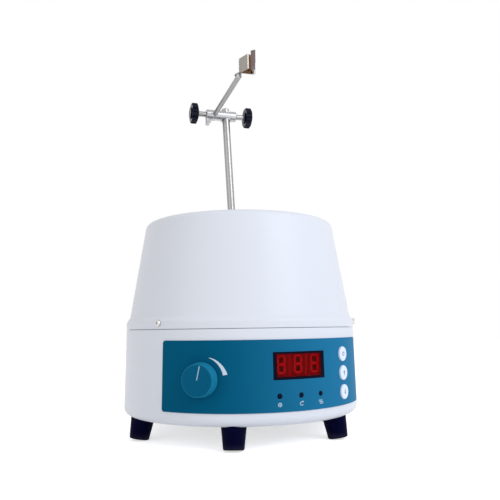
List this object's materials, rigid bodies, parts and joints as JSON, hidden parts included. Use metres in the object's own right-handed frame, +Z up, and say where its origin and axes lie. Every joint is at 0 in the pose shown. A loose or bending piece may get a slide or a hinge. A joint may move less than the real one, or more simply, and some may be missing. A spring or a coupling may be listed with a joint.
{
  "type": "heating mantle",
  "caption": "Digital stirring heating mantle: white conical shell on a round base with splayed feet, woven bowl, control panel, and a support rod with boss head and cork-lined probe clip.",
  "frame": {"origin": "on the table, on the vertical axis of the heating bowl", "axes": "+Z up along the bowl axis; the control panel faces -Y; +X is to the right as seen from the front"},
  "size_m": [0.2084, 0.2173, 0.3437],
  "materials": {
    "white_shell": "glossy white moulded shell",
    "panel_foil": "teal printed foil, satin",
    "knob_plastic": "light teal moulded knob",
    "button_plastic": "pale glossy button caps",
    "window_red": "dark red tinted filter",
    "lit_red": "red light bars",
    "dark_lens": "unlit dark lamp lens",
    "black_plastic": "black moulded plastic",
    "star_plastic": "black glossy star knobs",
    "foot_rubber": "navy black rubber",
    "glass_cloth": "woven glass cloth",
    "mineral_wool": "packed mineral wool",
    "sheet_steel": "zinc plated sheet",
    "bright_steel": "satin stainless rod",
    "cast_boss": "satin cast clamp",
    "screw_steel": "bright plated screws",
    "jaw_steel": "satin clip sheet",
    "cork": "cork pads",
    "motor_steel": "motor can",
    "circuit_board": "green circuit board",
    "core_steel": "laminated core",
    "brass_pins": "brass contact pins",
    "clear_glass": "glass cartridge"
  },
  "bodies": {
    "mantle": {"base_shell": "white_shell", "upper_shell": "white_shell", "side_screws": "screw_steel", "heating_bowl": "glass_cloth", "insulation": "mineral_wool", "heat_shield": "sheet_steel", "thermal_cutout": "black_plastic", "stirrer_motor": "motor_steel", "motor_bracket": "sheet_steel", "motor_screws": "screw_steel", "foot_screws": "screw_steel", "panel_overlay": "panel_foil", "display_window": "window_red", "led_display": "black_plastic", "led_segments": "lit_red", "control_board": "circuit_board", "button_board": "circuit_board", "potentiometer": "sheet_steel", "pot_nut": "sheet_steel", "power_board": "circuit_board", "transformer": "core_steel", "heat_sink": "cast_boss", "mains_inlet": "black_plastic", "inlet_pins": "brass_pins", "switch_frame": "black_plastic", "sensor_jack": "sheet_steel", "rod_socket": "screw_steel", "socket_nut": "sheet_steel", "indicator_lamps": "dark_lens", "foot_1": "foot_rubber", "foot_2": "foot_rubber", "foot_3": "foot_rubber", "foot_4": "foot_rubber", "foot_5": "foot_rubber", "foot_6": "foot_rubber"},
    "knob": {"control_knob": "knob_plastic", "pot_shaft": "bright_steel"},
    "set_key": {"set_button": "button_plastic"},
    "up_key": {"up_button": "button_plastic"},
    "down_key": {"down_button": "button_plastic"},
    "switch_rocker": {"rocker": "black_plastic"},
    "fuse_tray": {"fuse_drawer": "black_plastic", "fuse": "clear_glass"},
    "rotor": {"motor_shaft": "bright_steel", "magnet_holder": "black_plastic", "stirrer_magnets": "motor_steel"},
    "rod": {"support_rod": "bright_steel"},
    "boss": {"boss_head": "cast_boss"},
    "arm_screw": {"arm_clamp_stud": "screw_steel", "arm_clamp_knob": "star_plastic"},
    "rod_screw": {"rod_clamp_stud": "screw_steel", "rod_clamp_knob": "star_plastic"},
    "arm": {"clamp_arm": "bright_steel", "clip_screw": "screw_steel"},
    "clip": {"fixed_jaw": "jaw_steel", "fixed_pad": "cork", "clip_pin": "screw_steel", "clip_spring": "bright_steel"},
    "jaw": {"moving_jaw": "jaw_steel", "moving_pad": "cork"}
  },
  "joints": [
    {"name": "knob_turn", "type": "hinge", "parent": "mantle", "child": "knob", "pos_m": [-0.02936, -0.09977, 0.0531], "axis": [-0.2823, -0.9593, 0], "range_deg": [-138, 162]},
    {"name": "set_press", "type": "slide", "parent": "mantle", "child": "set_key", "axis": [-0.7976, 0.6032, 0], "range_m": [0, 0.0008], "stiffness_N_per_m": 300, "springref_m": -0.001},
    {"name": "up_press", "type": "slide", "parent": "mantle", "child": "up_key", "axis": [-0.7976, 0.6032, 0], "range_m": [0, 0.0008], "stiffness_N_per_m": 300, "springref_m": -0.001},
    {"name": "down_press", "type": "slide", "parent": "mantle", "child": "down_key", "axis": [-0.7976, 0.6032, 0], "range_m": [0, 0.0008], "stiffness_N_per_m": 300, "springref_m": -0.001},
    {"name": "rocker_tilt", "type": "hinge", "parent": "mantle", "child": "switch_rocker", "pos_m": [0.0105, 0.0953, 0.0555], "axis": [1, 0, 0], "range_deg": [0, 18]},
    {"name": "fuse_pull", "type": "slide", "parent": "mantle", "child": "fuse_tray", "axis": [0, 1, 0], "range_m": [0, 0.019]},
    {"name": "rotor_spin", "type": "hinge", "parent": "mantle", "child": "rotor", "pos_m": [0, 0, 0.099], "axis": [0, 0, 1], "continuous": true},
    {"name": "rod_turn", "type": "hinge", "parent": "mantle", "child": "rod", "pos_m": [-0.0065, 0.072, 0.186], "axis": [-0.0506, 0, 0.9987], "continuous": true},
    {"name": "boss_slide", "type": "slide", "parent": "rod", "child": "boss", "axis": [-0.0506, 0, 0.9987], "range_m": [-0.105, 0]},
    {"name": "rod_screw_turn", "type": "hinge", "parent": "boss", "child": "rod_screw", "pos_m": [0.01033, 0.07864, 0.3235], "axis": [-0.9632, -0.2689, 0], "range_deg": [-330, 0]},
    {"name": "arm_screw_turn", "type": "hinge", "parent": "boss", "child": "arm_screw", "pos_m": [-0.04775, 0.06243, 0.3235], "axis": [0.9632, 0.2689, 0], "range_deg": [-330, 0]},
    {"name": "arm_slide", "type": "slide", "parent": "boss", "child": "arm", "axis": [0.2689, -0.9632, 0], "range_m": [-0.08, 0.003]},
    {"name": "clip_turn", "type": "hinge", "parent": "arm", "child": "clip", "pos_m": [0.00025, -0.02509, 0.3272], "axis": [0, 0, 1], "range_deg": [-60, 60]},
    {"name": "jaw_open", "type": "hinge", "parent": "clip", "child": "jaw", "pos_m": [0.01513, -0.02893, 0.3331], "axis": [0, 0, 1], "range_deg": [0, 40], "stiffness_Nm_per_rad": 0.02, "springref_deg": -28.65}
  ]
}
